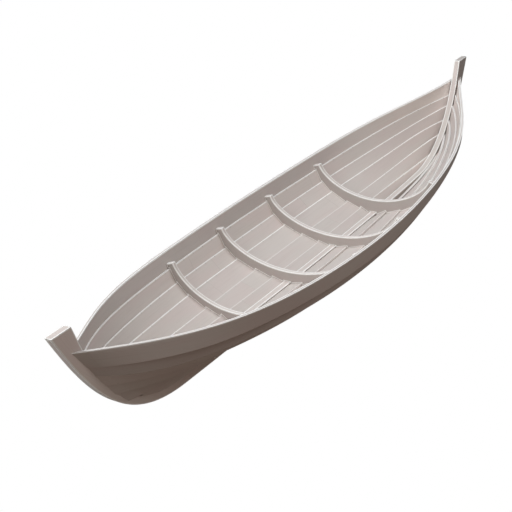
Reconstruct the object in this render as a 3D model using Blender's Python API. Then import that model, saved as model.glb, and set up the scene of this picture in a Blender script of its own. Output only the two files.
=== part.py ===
"""A double-ended clinker-built open boat with six strakes a side, four frames and raking stems.

Metres, +Z up. The origin is amidships, on the centreline, at the waterline. +X runs to the bow
and +Y to port. Both sides are the same. So are the two ends, but for the fore end's extra reach
and rise and the depth of the frames over the hog.
"""

import math

import bmesh
import bpy
import numpy as np

# Driving dimensions, heights above the underside of the keel amidships
LENGTH = 6.50
FORE_REACH = 0.146
FORE_RISE = 0.076
HALF_LENGTH = (LENGTH - FORE_REACH) / 2
DRAUGHT = 0.211
SIDING = 0.060
HALF_SIDING = SIDING / 2
FIT_GAP = 0.0004
WALL = HALF_SIDING + FIT_GAP

# Keel, hog and stems, in the boat's upright middle plane
KEEL_ROCKER = 0.0060
KEEL_STRAIGHT_TO = 1.936
KEEL_HALF_LENGTH = 1.55
STEM_HEAD_HEIGHT = 1.046
STEM_HEAD_INNER_X = 2.991
STEM_RAKE_DEG = 63.7
STEM_INNER_RAKE_DEG = 67.2
FOREFOOT_HANDLE = 0.672
STEM_OUTER_HANDLE = 0.685
HOG_TOP = 0.1590
HOG_DEPTH = 0.035
HOG_HALF_LENGTH = 1.30
STEM_INNER_FOOT_X = 2.112
KNEE_HANDLE = 0.699
STEM_INNER_HANDLE = 0.132
PROFILE_STEPS = 26

# Planking
PLANK_THICKNESS = 0.020
SHEER_THICKNESS = 0.028
LAP = 0.026
LEAST_LAND_EDGE = 0.003
RABBET_DEPTH_ENDS = 0.060
RABBET_DEPTH_AMIDSHIPS = 0.125
RABBET_DEEP_TO = 0.95
RABBET_SHALLOW_FROM = 1.66
BEARDING_BACK = 0.045
HOOD_RUN = 0.90
HOOD_EDGE = 0.003
STATION_STEP = 0.13
END_STEPS = 14
FINE_STEPS = 400
GARBOARD_TIP = 0.006
SCARF_GAP = 0.0006
INNER_LINES = 3
# The scarf's face over a plank's six corners, as triangles that both planks share
SCARF_FACE = ((0, 1, 4), (0, 4, 5), (1, 2, 3), (1, 3, 4))
LAP_SHARE = 0.6
LAST_STEP = 0.05
LEAST_SLOPE = 0.02

# Each row is the inner top edge of a strake, from the garboard up.
# half_breadth and height are amidships, end_height is where the edge meets the stem.
# The half breadth falls to the stem as (1 - u^2)(1 + full2 u^2 + full4 u^4 + full6 u^6), where u
# is x over its value at the stem. The rise is spread over u^2, u^4 and u^8, the last two by rise4
# and rise8. scarf counts the stations from amidships to the strake's joints.
#    name          half_breadth height end_height full2  full4  full6  rise4  rise8  scarf
STRAKES = (
    ("garboard", 0.147, 0.173, 0.249, 0.33, 0.73, -0.34, -1.96, 0.92, 8),
    ("strake_2", 0.321, 0.211, 0.381, 0.33, -0.07, 0.76, 0.50, -0.07, 6),
    ("strake_3", 0.512, 0.269, 0.500, 0.53, -1.14, 1.65, 0.03, -0.01, 8),
    ("strake_4", 0.624, 0.358, 0.623, 0.39, -0.25, 0.85, -0.41, 0.39, 6),
    ("strake_5", 0.691, 0.477, 0.718, 0.25, 0.69, -0.15, -0.14, 0.17, 8),
    ("sheer_strake", 0.740, 0.606, 0.854, 0.36, 0.80, -1.15, 0.08, 0.11, 6),
)

# Frames
FRAME_SPACING = 0.789
FRAME_SIDING = 0.040
FRAME_GAP = 0.0008
FRAME_HEAD_DEPTH = 0.072
FRAME_HEAD_BELOW_SHEER = 0.092
FLOOR_HANDLE_SHARE = 0.54
HEAD_HANDLE_SHARE = 0.45
FRAME_CURVE_STEPS = 18

# place is along the boat in frame spacings, floor_depth is how deep the frame is over the hog
#    name       place floor_depth
FRAMES = (
    ("frame_1", -1.5, 0.078),
    ("frame_2", -0.5, 0.094),
    ("frame_3", 0.5, 0.094),
    ("frame_4", 1.5, 0.126),
)

WOODS = {
    "plank_wood": ((0.52, 0.46, 0.42), 0.75),
    "frame_wood": ((0.56, 0.50, 0.46), 0.75),
    "backbone_wood": ((0.48, 0.42, 0.38), 0.75),
}


def clear_scene():
    for obj in list(bpy.data.objects):
        bpy.data.objects.remove(obj, do_unlink=True)


def make_material(name):
    colour, roughness = WOODS[name]
    material = bpy.data.materials.new(name)
    material.use_nodes = True
    shader = material.node_tree.nodes["Principled BSDF"]
    shader.inputs["Base Color"].default_value = (*colour, 1.0)
    shader.inputs["Roughness"].default_value = roughness
    shader.inputs["Metallic"].default_value = 0.0
    return material


def add_object(name, mesh_builder, material):
    """A named object from a bmesh, its fore end drawn out and up by the fourth power of the way
    forward, and all of it lowered so that the waterline is at height zero."""
    for vert in mesh_builder.verts:
        forward = min(max(vert.co.x, 0.0) / STEM_HEAD_INNER_X, 1.0) ** 4
        vert.co.x += FORE_REACH * forward
        vert.co.z += FORE_RISE * forward - DRAUGHT
    bmesh.ops.recalc_face_normals(mesh_builder, faces=mesh_builder.faces)
    mesh = bpy.data.meshes.new(name)
    mesh_builder.to_mesh(mesh)
    mesh_builder.free()
    mesh.materials.append(material)
    obj = bpy.data.objects.new(name, mesh)
    bpy.context.scene.collection.objects.link(obj)
    return obj


def keel_line(x):
    return KEEL_ROCKER * np.asarray(x) ** 2


def bezier(points, steps):
    """A cubic curve through the first and last of four points, as an array of points."""
    a, b, c, d = (np.array(p) for p in points)
    t = np.linspace(0.0, 1.0, steps)[:, None]
    return (1 - t) ** 3 * a + 3 * t * (1 - t) ** 2 * b + 3 * t**2 * (1 - t) * c + t**3 * d


def stem_curve(base_height, foot_x, foot_handle, head, head_handle, rake_deg):
    """The fore-and-aft outline from the straight of the keel or hog up to the stem's head."""
    slope = 2 * KEEL_ROCKER * foot_x
    along = np.array((1.0, slope)) / math.hypot(1.0, slope)
    foot = np.array((foot_x, base_height + KEEL_ROCKER * foot_x**2))
    rake = np.array((math.cos(math.radians(rake_deg)), math.sin(math.radians(rake_deg))))
    head = np.array(head)
    handles = (foot, foot + foot_handle * along, head - head_handle * rake, head)
    return bezier(handles, PROFILE_STEPS)


OUTER_CURVE = stem_curve(
    0.0,
    KEEL_STRAIGHT_TO,
    FOREFOOT_HANDLE,
    (HALF_LENGTH, STEM_HEAD_HEIGHT),
    STEM_OUTER_HANDLE,
    STEM_RAKE_DEG,
)
INNER_CURVE = stem_curve(
    HOG_TOP,
    STEM_INNER_FOOT_X,
    KNEE_HANDLE,
    (STEM_HEAD_INNER_X, STEM_HEAD_HEIGHT),
    STEM_INNER_HANDLE,
    STEM_INNER_RAKE_DEG,
)


def straight_run(start, end, height, steps=9):
    x = np.linspace(start, end, steps)
    return np.stack([x, height + keel_line(x)], axis=1)


def rabbet_curve():
    """Where the planks' outer faces meet keel and stem: the outer outline, set in by the rabbet's depth."""
    keel = straight_run(0.0, KEEL_STRAIGHT_TO, 0.0, 30)[:-1]
    outline = np.concatenate([keel, OUTER_CURVE])
    tangent = np.gradient(outline, axis=0)
    tangent /= np.linalg.norm(tangent, axis=1)[:, None]
    normal = np.stack([-tangent[:, 1], tangent[:, 0]], axis=1)
    run = RABBET_SHALLOW_FROM - RABBET_DEEP_TO
    toward_end = np.clip((outline[:, :1] - RABBET_DEEP_TO) / run, 0.0, 1.0)
    blend = 0.5 - 0.5 * np.cos(math.pi * toward_end)
    depth = RABBET_DEPTH_AMIDSHIPS + (RABBET_DEPTH_ENDS - RABBET_DEPTH_AMIDSHIPS) * blend
    return outline + normal * depth


RABBET = rabbet_curve()


def edge_end(row):
    """How far along the boat the strake's inner top edge meets the stem's side."""
    return np.interp(row[3], RABBET[:, 1], RABBET[:, 0]) - BEARDING_BACK


def strake_edge(row, x):
    """The inner top edge of a strake on the port side, as (y, z) points at each x."""
    _, half_breadth, height, end_height, full2, full4, full6, rise4, rise8, _ = row
    end_x = edge_end(row)
    u = np.minimum(x / end_x, 1.0)
    inside = half_breadth - HALF_SIDING
    fullness = 1 + full2 * u**2 + full4 * u**4 + full6 * u**6
    y = HALF_SIDING + inside * (1 - u**2) * fullness
    rise = (1 - rise4 - rise8) * u**2 + rise4 * u**4 + rise8 * u**8
    z = height + (end_height - height) * rise
    edge = np.stack([y, z], axis=1)
    # Past the stem's side the edge runs straight on
    last = int(np.searchsorted(x, end_x)) - 1
    slope = (edge[last] - edge[last - 1]) / (x[last] - x[last - 1])
    beyond = np.maximum(x - x[last], 0.0)[:, None]
    return np.where(beyond > 0, edge[last] + beyond * slope, edge)


def unit(vectors):
    return vectors / np.linalg.norm(vectors, axis=-1, keepdims=True)


def outward(up):
    """Square to a plank's face, away from the boat's inside."""
    return np.stack([up[:, 1], -up[:, 0]], axis=1)


def dot(a, b):
    return np.sum(a * b, axis=1, keepdims=True)


def garboard_feet(top, x):
    """The garboard's inner and outer lower edges on the side of the keel and stem, and its slope."""
    z = np.interp(x, RABBET[:, 0], RABBET[:, 1])
    outer = np.stack([np.full_like(z, WALL), z], axis=1)
    up = unit(top + PLANK_THICKNESS * outward(unit(top - outer)) - outer)
    # The plank keeps its slope over the last of its length
    last = int(np.searchsorted(x, edge_end(STRAKES[0]) - LAST_STEP)) - 1
    up[last:] = up[last]
    reach = (top[:, :1] - WALL) / np.maximum(up[:, :1], LEAST_SLOPE)
    inner = top - up * np.maximum(reach, GARBOARD_TIP)
    inner[:, 0] = WALL
    return inner, outer, up


def foot_thickness(thickness, below, x):
    """How thick a plank is along its outer lower edge. It is planed down toward the stem, so that
    it ends flush with the strake below."""
    stem_x = edge_end(below) + BEARDING_BACK
    toward_stem = np.clip((x - stem_x + HOOD_RUN) / HOOD_RUN, 0.0, 1.0)
    eased = toward_stem**2 * (3 - 2 * toward_stem)
    return (thickness + (HOOD_EDGE - thickness) * eased)[:, None]


def strake_corners():
    """Six lines along each strake of the port half: inner foot, inner lap, inner top, outer top,
    outer land and outer foot. Each strake laps outside the one below, whose outer top edge is
    planed to a land that the upper one lies on. Both are cut at the same stations there."""
    x = np.linspace(0.0, HALF_LENGTH, FINE_STEPS)
    tops = [strake_edge(row, x) for row in STRAKES]
    inner_foot, outer_foot, up = garboard_feet(tops[0], x)
    inner_lap = (inner_foot + tops[0]) / 2
    below = stations(STRAKES[0])
    strakes = []
    for i, top in enumerate(tops):
        above = stations(STRAKES[i])
        normal = outward(up)
        if i + 1 < len(tops):
            lap = np.minimum(LAP, LAP_SHARE * np.linalg.norm(top - inner_foot, axis=1, keepdims=True))
            outer_land = top + PLANK_THICKNESS * normal - lap * up
            next_foot = outer_land + FIT_GAP * normal
            next_up = unit(tops[i + 1] - next_foot)
            # The next strake's inner face passes this strake's top edge this far out
            next_lap = next_foot + next_up * lap / dot(next_up, up)
            land_edge = dot(next_lap - top, normal) - FIT_GAP
            outer_top = top + np.clip(land_edge, LEAST_LAND_EDGE, PLANK_THICKNESS) * normal
        else:
            # The sheer strake's top edge is planed level
            outer_top = top + np.array((1.0, 0.0)) * SHEER_THICKNESS / up[:, 1:]
            outer_land = outer_top - LAP * up
        lower = (inner_foot, inner_lap)
        upper = (top, outer_top, outer_land)
        guides = (top, top, outer_land) if i == 0 else (inner_foot, inner_lap, outer_foot)
        strakes.append([
            *(line_to_stem(x, line, guide, below) for line, guide in zip(lower, guides)),
            *(line_to_stem(x, line, line, above) for line in upper),
            line_to_stem(x, outer_foot, guides[-1], below),
        ])
        if i + 1 < len(tops):
            inner_foot, inner_lap, up, below = next_foot, next_lap, next_up, above
            thickness = PLANK_THICKNESS if i + 2 < len(tops) else SHEER_THICKNESS
            outer_foot = inner_foot + foot_thickness(thickness, STRAKES[i], x) * outward(up)
    return strakes


def stations(row):
    """Places along the boat that the lines of a strake's top edge are cut at: each frame's faces,
    even steps between, and even steps on to just short of the stem."""
    breaks = [0.0]
    for _, place, _ in FRAMES:
        if place > 0:
            middle = place * FRAME_SPACING
            breaks += [middle - FRAME_SIDING / 2, middle + FRAME_SIDING / 2]
    found = [np.array([0.0])]
    for start, end in zip(breaks, breaks[1:]):
        steps = math.ceil((end - start) / STATION_STEP)
        found.append(np.linspace(start, end, steps + 1)[1:])
    found.append(np.linspace(breaks[-1], edge_end(row) - LAST_STEP, END_STEPS + 1)[1:])
    return np.concatenate(found)


def line_to_stem(x, line, guide, cuts):
    """The line at the cuts, then where its guide meets the stem's side, and the same going aft."""
    after = int(np.argmax(guide[:, 0] < WALL))
    end_x = np.interp(-WALL, -guide[after - 1 : after + 1, 0], x[after - 1 : after + 1])
    at = np.append(cuts, end_x)
    half = np.stack([at, np.interp(at, x, line[:, 0]), np.interp(at, x, line[:, 1])], axis=1)
    half[-1, 1] = WALL
    aft = half[:0:-1] * np.array((-1.0, 1.0, 1.0))
    return np.concatenate([aft, half])


def plank_line(line, first, last):
    """The part of a strake's line from one station to another, short of the scarf's gap at each."""
    part = line[first : last + 1].copy()
    if first > 0:
        along = part[1] - part[0]
        part[0] += along * (SCARF_GAP / 2) / along[0]
    if last < len(line) - 1:
        along = part[-2] - part[-1]
        part[-1] += along * (SCARF_GAP / 2) / -along[0]
    return part


def strip(builder, low, low_start, high, high_start, rising):
    """Triangles between two rows of corners whose first stations are given. Rising picks the
    diagonal: two planks that touch are split along the same ones."""
    start = max(low_start, high_start)
    end = min(low_start + len(low), high_start + len(high)) - 1
    for station in range(start, end):
        a, b = low[station - low_start], low[station + 1 - low_start]
        d, c = high[station - high_start], high[station + 1 - high_start]
        if rising:
            builder.faces.new((a, b, c))
            builder.faces.new((a, c, d))
        else:
            builder.faces.new((a, b, d))
            builder.faces.new((b, c, d))
    for row, row_start, other, other_start in (
        (low, low_start, high, high_start),
        (high, high_start, low, low_start),
    ):
        if row_start < start:
            builder.faces.new((row[0], row[1], other[start - other_start]))
        if row_start + len(row) - 1 > end:
            builder.faces.new((row[-1], row[-2], other[end - other_start]))


def add_plank(name, lines, reach, side, material):
    """One length of a strake, through its six edge lines. Reach holds the first and last station
    of the inner lines and then of the outer lines, which differ at a scarf."""
    builder = bmesh.new()
    flip = np.array((1.0, side, 1.0))
    rows = []
    for i, line in enumerate(lines):
        first, last = reach[0] if i < INNER_LINES else reach[1]
        points = plank_line(line, first, last)
        rows.append(([builder.verts.new(point * flip) for point in points], first))
    for i, (low, low_start) in enumerate(rows):
        high, high_start = rows[(i + 1) % len(rows)]
        strip(builder, low, low_start, high, high_start, i < INNER_LINES)
    for end, at_hood in ((0, reach[0][0] == 0), (-1, reach[0][1] == len(lines[0]) - 1)):
        corners = [row[end] for row, _ in rows]
        if at_hood:
            builder.faces.new(corners)
        else:
            for triangle in SCARF_FACE:
                builder.faces.new([corners[i] for i in triangle])
    return add_object(name, builder, material)


def add_strake(name, lines, scarf, side, material):
    """A strake's three lengths. The scarfs slope through the plank from one station to the next,
    with the outer feather edge of each facing aft."""
    last = len(lines[0]) - 1
    middle = last // 2
    fore_joint = middle + scarf
    aft_joint = middle - scarf - 1
    lengths = {
        "aft": ((0, aft_joint + 1), (0, aft_joint)),
        "middle": ((aft_joint + 1, fore_joint + 1), (aft_joint, fore_joint)),
        "fore": ((fore_joint + 1, last), (fore_joint, last)),
    }
    for place, reach in lengths.items():
        add_plank(f"{name}_{place}", lines, reach, side, material)


def add_profile(name, outline, half_width, material):
    """An outline in the boat's upright middle plane, as thick as the siding."""
    builder = bmesh.new()
    verts = [builder.verts.new((x, -half_width, z)) for x, z in outline]
    face = builder.faces.new(verts)
    moved = bmesh.ops.extrude_face_region(builder, geom=[face])
    corners = [item for item in moved["geom"] if isinstance(item, bmesh.types.BMVert)]
    bmesh.ops.translate(builder, verts=corners, vec=(0.0, 2 * half_width, 0.0))
    return add_object(name, builder, material)


def add_backbone(material):
    hog_base = HOG_TOP - HOG_DEPTH
    joint = FIT_GAP / 2
    keel_reach = KEEL_HALF_LENGTH - joint
    keel = np.concatenate([
        straight_run(-keel_reach, keel_reach, 0.0, 14),
        straight_run(keel_reach, -keel_reach, hog_base - joint, 14),
    ])
    add_profile("keel", keel, HALF_SIDING, material)
    hog_reach = HOG_HALF_LENGTH - joint
    hog = np.concatenate([
        straight_run(-hog_reach, hog_reach, hog_base + joint, 14),
        straight_run(hog_reach, -hog_reach, HOG_TOP, 14),
    ])
    add_profile("hog", hog, HALF_SIDING, material)
    stem = np.concatenate([
        straight_run(KEEL_HALF_LENGTH + joint, KEEL_STRAIGHT_TO, 0.0, 4)[:-1],
        OUTER_CURVE,
        INNER_CURVE[::-1],
        straight_run(STEM_INNER_FOOT_X, HOG_HALF_LENGTH + joint, HOG_TOP, 7)[1:],
        straight_run(HOG_HALF_LENGTH + joint, KEEL_HALF_LENGTH + joint, hog_base + joint, 4),
    ])
    add_profile("stem_fore", stem, HALF_SIDING, material)
    add_profile("stem_aft", stem * np.array((-1.0, 1.0)), HALF_SIDING, material)


def cut_at(line, x):
    """The (y, z) point of a line along the boat at the given x."""
    return np.array((np.interp(x, line[:, 0], line[:, 1]), np.interp(x, line[:, 0], line[:, 2])))


def offset_inward(points, distance):
    """The open outline, run from port to starboard, moved off the planks by the distance."""
    step = np.diff(points, axis=0)
    step /= np.linalg.norm(step, axis=1)[:, None]
    inward = np.stack([step[:, 1], -step[:, 0]], axis=1)
    before = np.concatenate([inward[:1], inward])
    after = np.concatenate([inward, inward[-1:]])
    share = 1 + np.sum(before * after, axis=1)
    return points + distance * (before + after) / np.maximum(share, 0.3)[:, None]


def frame_outline(corners, x, floor_depth):
    """The frame's closed outline at x: joggled over the lands and notched over the hog below,
    and above it a fair curve, level over the hog and in line with the sheer strake at the heads."""
    sheer_foot, sheer_top = cut_at(corners[-1][1], x), cut_at(corners[-1][2], x)
    up = (sheer_top - sheer_foot) / np.linalg.norm(sheer_top - sheer_foot)
    head = sheer_top - FRAME_HEAD_BELOW_SHEER * up
    hog_top = HOG_TOP + float(keel_line(x))
    port = [head]
    for above, below in zip(corners[:0:-1], corners[-2::-1]):
        port += [cut_at(above[1], x), cut_at(below[2], x)]
    port += [cut_at(corners[0][1], x), cut_at(corners[0][0], x)]
    port.append(np.array((port[-1][0], hog_top)))
    port = np.array(port)
    starboard = port[::-1] * np.array((-1.0, 1.0))
    joggled = offset_inward(np.concatenate([port, starboard]), FRAME_GAP)
    inner_head = head + FRAME_HEAD_DEPTH * np.array((-up[1], up[0]))
    throat = np.array((0.0, hog_top + floor_depth))
    floor_handle = np.array((FLOOR_HANDLE_SHARE * inner_head[0], 0.0))
    head_handle = HEAD_HANDLE_SHARE * (inner_head[1] - throat[1]) * up
    handles = (throat, throat + floor_handle, inner_head - head_handle, inner_head)
    right = bezier(handles, FRAME_CURVE_STEPS)
    left = right[:0:-1] * np.array((-1.0, 1.0))
    return np.concatenate([joggled, left, right])


def add_frame(name, corners, x, floor_depth, material):
    """A frame lofted between its outlines at its two faces, so that its bevel follows the planks.
    Each face between them is split like the planks, from its low aft corner to its high fore one."""
    builder = bmesh.new()
    rings = []
    for face_x in (x - FRAME_SIDING / 2, x + FRAME_SIDING / 2):
        outline = frame_outline(corners, face_x, floor_depth)
        rings.append([builder.verts.new((face_x, y, z)) for y, z in outline])
    first, second = rings
    for j in range(len(first)):
        k = (j + 1) % len(first)
        low, high = (j, k) if first[j].co.z < first[k].co.z else (k, j)
        builder.faces.new((first[low], second[low], second[high]))
        builder.faces.new((first[low], second[high], first[high]))
    builder.faces.new(first)
    builder.faces.new(second)
    return add_object(name, builder, material)


def main():
    clear_scene()
    materials = {name: make_material(name) for name in WOODS}
    add_backbone(materials["backbone_wood"])
    corners = strake_corners()
    for row, lines in zip(STRAKES, corners):
        for side_name, side in (("port", 1.0), ("starboard", -1.0)):
            add_strake(f"{row[0]}_{side_name}", lines, row[-1], side, materials["plank_wood"])
    for name, place, floor_depth in FRAMES:
        add_frame(name, corners, place * FRAME_SPACING, floor_depth, materials["frame_wood"])


main()
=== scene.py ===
"""A weathered clinker-built boat, pointed at both ends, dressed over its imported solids.

Metres, +Z up. Heights in the tables are above the underside of the keel amidships, and every
finished point is lowered by the draught, which puts the waterline at height zero. The planks,
frames, keel and stems are made again here with eased edges on the same lines as their solids.
"""

import math

import bmesh
import bpy
import numpy as np
from mathutils import Matrix


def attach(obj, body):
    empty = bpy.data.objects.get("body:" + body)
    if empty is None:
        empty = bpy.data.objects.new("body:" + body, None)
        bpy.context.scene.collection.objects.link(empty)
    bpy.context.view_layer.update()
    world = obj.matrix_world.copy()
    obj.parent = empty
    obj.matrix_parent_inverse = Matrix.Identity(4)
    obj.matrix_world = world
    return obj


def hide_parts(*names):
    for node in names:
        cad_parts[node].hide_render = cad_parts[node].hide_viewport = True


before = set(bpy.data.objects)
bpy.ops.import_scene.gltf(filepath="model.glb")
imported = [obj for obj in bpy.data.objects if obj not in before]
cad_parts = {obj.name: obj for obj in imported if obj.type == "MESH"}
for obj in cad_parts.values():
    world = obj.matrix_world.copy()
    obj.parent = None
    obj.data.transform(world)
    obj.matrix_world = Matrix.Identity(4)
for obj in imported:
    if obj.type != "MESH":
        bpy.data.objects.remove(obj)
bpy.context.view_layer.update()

# The hull's driving dimensions, the same as the solids'
LENGTH = 6.50
FORE_REACH = 0.146
FORE_RISE = 0.076
HALF_LENGTH = (LENGTH - FORE_REACH) / 2
DRAUGHT = 0.211
HALF_SIDING = 0.030
FIT_GAP = 0.0004
WALL = HALF_SIDING + FIT_GAP

KEEL_ROCKER = 0.0060
KEEL_STRAIGHT_TO = 1.936
KEEL_HALF_LENGTH = 1.55
STEM_HEAD_HEIGHT = 1.046
STEM_HEAD_INNER_X = 2.991
STEM_RAKE_DEG = 63.7
STEM_INNER_RAKE_DEG = 67.2
FOREFOOT_HANDLE = 0.672
STEM_OUTER_HANDLE = 0.685
HOG_TOP = 0.1590
HOG_DEPTH = 0.035
HOG_HALF_LENGTH = 1.30
STEM_INNER_FOOT_X = 2.112
KNEE_HANDLE = 0.699
STEM_INNER_HANDLE = 0.132
PROFILE_STEPS = 40
# How many points the straight stretches have: keel and hog, and the stem's heel, knee and end
KEEL_STEPS = 30
HEEL_STEPS = 6
KNEE_STEPS = 9
KNEE_END_STEPS = 4

PLANK_THICKNESS = 0.020
SHEER_THICKNESS = 0.028
LAP = 0.026
LEAST_LAND_EDGE = 0.003
RABBET_DEPTH_ENDS = 0.060
RABBET_DEPTH_AMIDSHIPS = 0.125
RABBET_DEEP_TO = 0.95
RABBET_SHALLOW_FROM = 1.66
BEARDING_BACK = 0.045
HOOD_RUN = 0.90
HOOD_EDGE = 0.003
FINE_STEPS = 400
HALF_STATIONS = 80
GARBOARD_TIP = 0.006
LAP_SHARE = 0.6
LAST_STEP = 0.05
LEAST_SLOPE = 0.02

# Each row is the inner top edge of a strake, from the garboard up.
# half_breadth and height are amidships, end_height is where the edge meets the stem.
# The half breadth falls to the stem as (1 - u^2)(1 + full2 u^2 + full4 u^4 + full6 u^6), where u
# is x over its value at the stem. The rise is spread over u^2, u^4 and u^8, the last two by rise4
# and rise8. joint is how far from amidships the strake's boards are scarfed. painted_shading is
# painted light and shade on the strake's outside: how much lighter or darker its outside is
# painted for how the light falls on it. wear_and_highlight is how pale its upper edges are made
# amidships, partly rubbed wear and partly a painted highlight.
#    name          half_breadth height end_height full2  full4  full6  rise4  rise8  joint painted_shading wear_and_highlight
STRAKES = (
    ("garboard", 0.147, 0.173, 0.249, 0.33, 0.73, -0.34, -1.96, 0.92, 0.914, 0.95, 0.4),
    ("strake_2", 0.321, 0.211, 0.381, 0.33, -0.07, 0.76, 0.50, -0.07, 0.664, 0.954, 0.4),
    ("strake_3", 0.512, 0.269, 0.500, 0.53, -1.14, 1.65, 0.03, -0.01, 0.914, 0.995, 1.0),
    ("strake_4", 0.624, 0.358, 0.623, 0.39, -0.25, 0.85, -0.41, 0.39, 0.664, 1.049, 1.0),
    ("strake_5", 0.691, 0.477, 0.718, 0.25, 0.69, -0.15, -0.14, 0.17, 0.914, 0.90, 1.0),
    ("sheer_strake", 0.740, 0.606, 0.854, 0.36, 0.80, -1.15, 0.08, 0.11, 0.664, 0.903, 1.0),
)
# The pale edges of the lower strakes, partly wear and partly a painted highlight, grow to full
# between these distances from amidships
WORN_AND_HIGHLIGHT_FROM = 1.2
WORN_AND_HIGHLIGHT_TO = 1.7
# Painted light and shade: how much lighter or darker a slab's two faces and the rim between them
# are painted for how the light falls on them
FRAME_PAINTED_SHADING = (0.77, 1.08)
STEM_FORE_PAINTED_SHADING = (0.77, 1.0)
STEM_AFT_PAINTED_SHADING = (1.13, 1.0)
KEEL_PAINTED_SHADING = (1.05, 1.0)
HOG_PAINTED_SHADING = (0.5, 1.0)
# Painted light and shade on the inside of each strake against its outside, and where along the
# boat: how much lighter or darker the inside is painted for how the light falls on it
INSIDE_PAINTED_SHADING_PLACES = (-2.4, -1.2, 1.2, 2.4)
INSIDE_PAINTED_SHADING = {
    "garboard": (1.0, 0.98, 0.98, 1.23),
    "strake_2": (1.0, 1.0, 1.0, 1.05),
    "strake_3": (1.0, 1.0, 1.0, 0.96),
    "strake_4": (0.86, 1.02, 1.02, 0.87),
    "strake_5": (0.97, 1.21, 1.21, 1.12),
    "sheer_strake": (0.95, 0.97, 0.97, 1.36),
}
# How far across it the grain is shifted from one strake to the next, and from side to side
SEED_STEP = 2.3
SEED_SIDE = 1.1
SCARF_LENGTH = 0.125
BOARDS = ("aft", "middle", "fore")
SIDES = (("port", 1.0), ("starboard", -1.0))

FRAME_SPACING = 0.789
FRAME_SIDING = 0.040
FRAME_GAP = 0.0008
FRAME_HEAD_DEPTH = 0.072
FRAME_HEAD_BELOW_SHEER = 0.092
FLOOR_HANDLE_SHARE = 0.54
HEAD_HANDLE_SHARE = 0.45
FRAME_CURVE_STEPS = 36

# place is along the boat in frame spacings, floor_depth is how deep the frame is over the hog
#    name       place floor_depth
FRAMES = (
    ("frame_1", -1.5, 0.078),
    ("frame_2", -0.5, 0.094),
    ("frame_3", 0.5, 0.094),
    ("frame_4", 1.5, 0.126),
)

# Edges are eased to a small round, and made pale for a little way in from it, partly as wear and
# partly as a painted highlight
EASED = 0.0025
PLAIN_REACH = 0.012
# The middle of a quarter round lies this share of its radius in from each side
ROUND_PULL = 0.29
# An eased edge takes at most this share of the side beside it
EASED_SHARE = 0.3
# A mitre is divided by one plus the cosine of its turn, kept above this so that it can't shoot out
LEAST_MITRE = 0.3
# An outline's corner is eased where it turns by more, and faces that meet more sharply stay hard
SHARP_TURN_DEG = 25.0
SHARP_FACE_DEG = 62.0
# A slab's side gets a plain stretch of its own when it is longer than this
ROOM_FOR_PLAIN = 4.5 * PLAIN_REACH

# Which of a strake's six corners are made pale, partly as wear and partly as a painted highlight:
# the inner top and outer top
SHOWN_CORNERS = np.array((False, False, True, True, False, False))
# The distance from an edge that is given to points that show no pale edge, neither wear nor
# painted highlight
HIDDEN_DISTANCE = 0.05
# Which part of a strake's section is its outside, by the numbers of its points: none as far as
# the inner top corner, all from the outer top corner to the outer foot, and a blend between
SECTION_POINTS = (0, 10, 14, 22, 24)
OUTSIDE_SHARES = (0, 0, 1, 1, 0)
# Points of a piece that are closer than this are one
MERGE_DISTANCE = 1e-6


def keel_line(x):
    """How far the keel's line has risen at x: the rocker times the square of x."""
    return KEEL_ROCKER * np.asarray(x) ** 2


def unit(vectors):
    """Each vector over its own length."""
    return vectors / np.linalg.norm(vectors, axis=-1, keepdims=True)


def dot(a, b):
    """The sum of the products of two vectors' parts, kept as a column."""
    return np.sum(a * b, axis=-1, keepdims=True)


def fore_shape(points):
    """The fore end drawn out and up by the fourth power of the way forward, and everything
    lowered by the draught."""
    forward = np.clip(points[..., 0] / STEM_HEAD_INNER_X, 0.0, 1.0) ** 4
    moved = points.copy()
    moved[..., 0] += FORE_REACH * forward
    moved[..., 2] += FORE_RISE * forward - DRAUGHT
    return moved


def bezier(points, steps):
    """A cubic curve through the first and last of four points: their blend by the powers of t."""
    a, b, c, d = (np.array(p) for p in points)
    t = np.linspace(0.0, 1.0, steps)[:, None]
    return (1 - t) ** 3 * a + 3 * t * (1 - t) ** 2 * b + 3 * t**2 * (1 - t) * c + t**3 * d


def stem_curve(base_height, foot_x, foot_handle, head, head_handle, rake_deg):
    """The fore-and-aft outline from the straight of the keel or hog up to the stem's head."""
    slope = 2 * KEEL_ROCKER * foot_x
    along = np.array((1.0, slope)) / math.hypot(1.0, slope)
    foot = np.array((foot_x, base_height + KEEL_ROCKER * foot_x**2))
    rake = np.array((math.cos(math.radians(rake_deg)), math.sin(math.radians(rake_deg))))
    head = np.array(head)
    handles = (foot, foot + foot_handle * along, head - head_handle * rake, head)
    return bezier(handles, PROFILE_STEPS)


OUTER_CURVE = stem_curve(
    0.0,
    KEEL_STRAIGHT_TO,
    FOREFOOT_HANDLE,
    (HALF_LENGTH, STEM_HEAD_HEIGHT),
    STEM_OUTER_HANDLE,
    STEM_RAKE_DEG,
)
INNER_CURVE = stem_curve(
    HOG_TOP,
    STEM_INNER_FOOT_X,
    KNEE_HANDLE,
    (STEM_HEAD_INNER_X, STEM_HEAD_HEIGHT),
    STEM_INNER_HANDLE,
    STEM_INNER_RAKE_DEG,
)


def straight_run(start, end, height, steps):
    """Even steps along the boat at a height above the keel's line."""
    x = np.linspace(start, end, steps)
    return np.stack([x, height + keel_line(x)], axis=1)


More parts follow.
